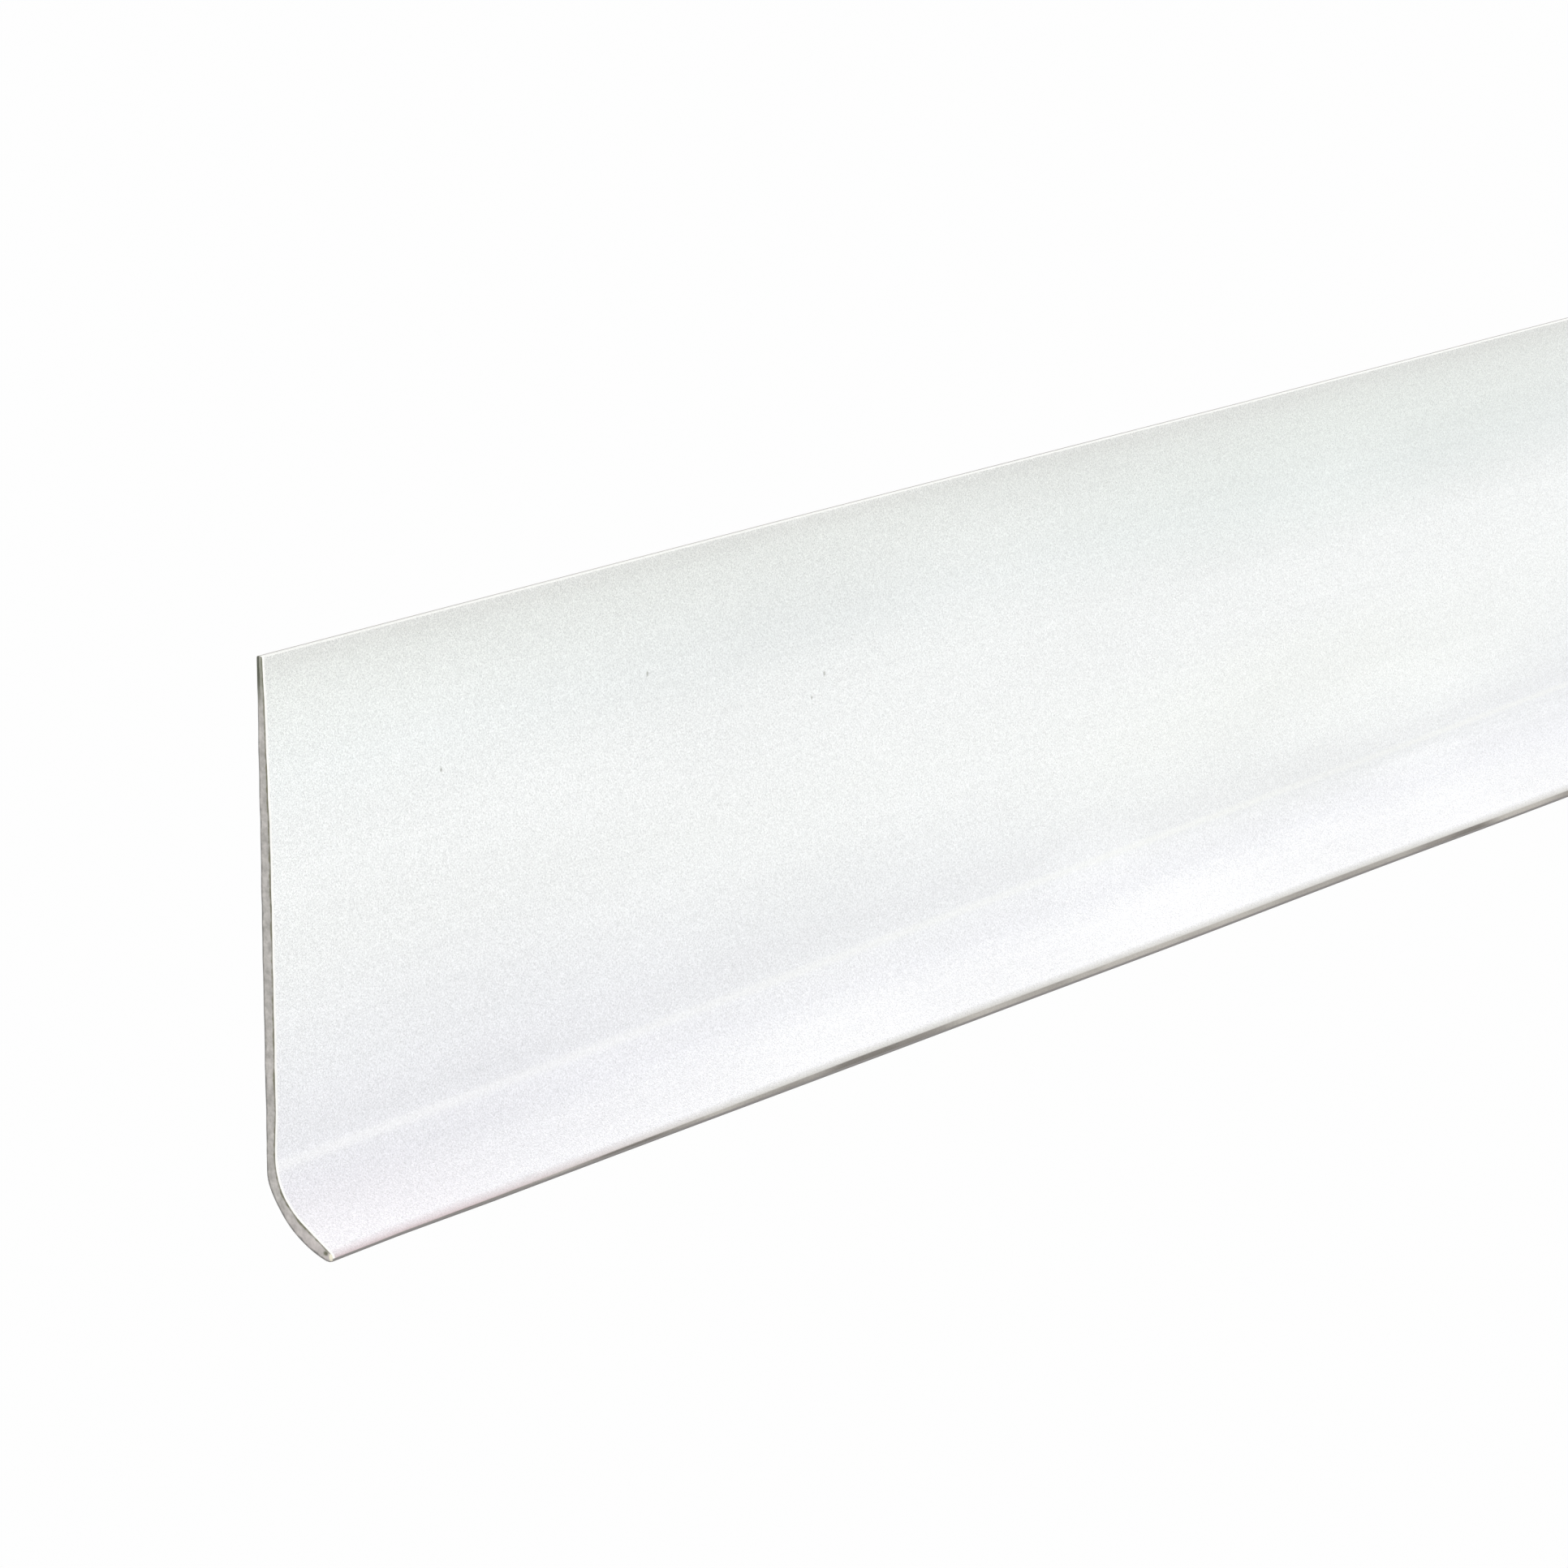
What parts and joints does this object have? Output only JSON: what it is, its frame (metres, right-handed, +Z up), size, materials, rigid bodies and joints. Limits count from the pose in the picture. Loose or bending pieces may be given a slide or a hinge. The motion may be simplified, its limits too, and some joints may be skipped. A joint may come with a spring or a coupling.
{
  "type": "door sweep",
  "caption": "Flexible vinyl strip with a flat stick-on web and a lip that curves out along its foot, to close the space under a door.",
  "frame": {"origin": "outermost back face, in the middle of the upper release liner, halfway along the strip", "axes": "+X along the strip, +Y out of its back towards the door it is stuck to, +Z up; the visible front and the lip face -Y"},
  "size_m": [0.9144, 0.0156, 0.1016],
  "materials": {
    "web_vinyl": "satin white vinyl with a fine orange-peel grain",
    "lip_vinyl": "soft satin white vinyl with a fine orange-peel grain",
    "tape_foam": "closed-cell foam with a tacky adhesive film on both faces",
    "liner_paper": "silicone-coated release paper"
  },
  "bodies": {
    "web": {"carrier_web": "web_vinyl", "adhesive_tape_upper": "tape_foam", "adhesive_tape_lower": "tape_foam"},
    "lip": {"sweep_lip": "lip_vinyl"},
    "liner_upper": {"release_liner_upper": "liner_paper"},
    "liner_lower": {"release_liner_lower": "liner_paper"}
  },
  "joints": [
    {"name": "lip_flex", "type": "hinge", "parent": "web", "child": "lip", "pos_m": [0, -0.00245, -0.0681], "axis": [1, 0, 0], "range_deg": [-35, 20], "stiffness_Nm_per_rad": 0.6},
    {"name": "liner_upper_peel", "type": "slide", "parent": "web", "child": "liner_upper", "axis": [0, 1, 0], "range_m": [0, 0.02]},
    {"name": "liner_lower_peel", "type": "slide", "parent": "web", "child": "liner_lower", "axis": [0, 1, 0], "range_m": [0, 0.02]}
  ]
}
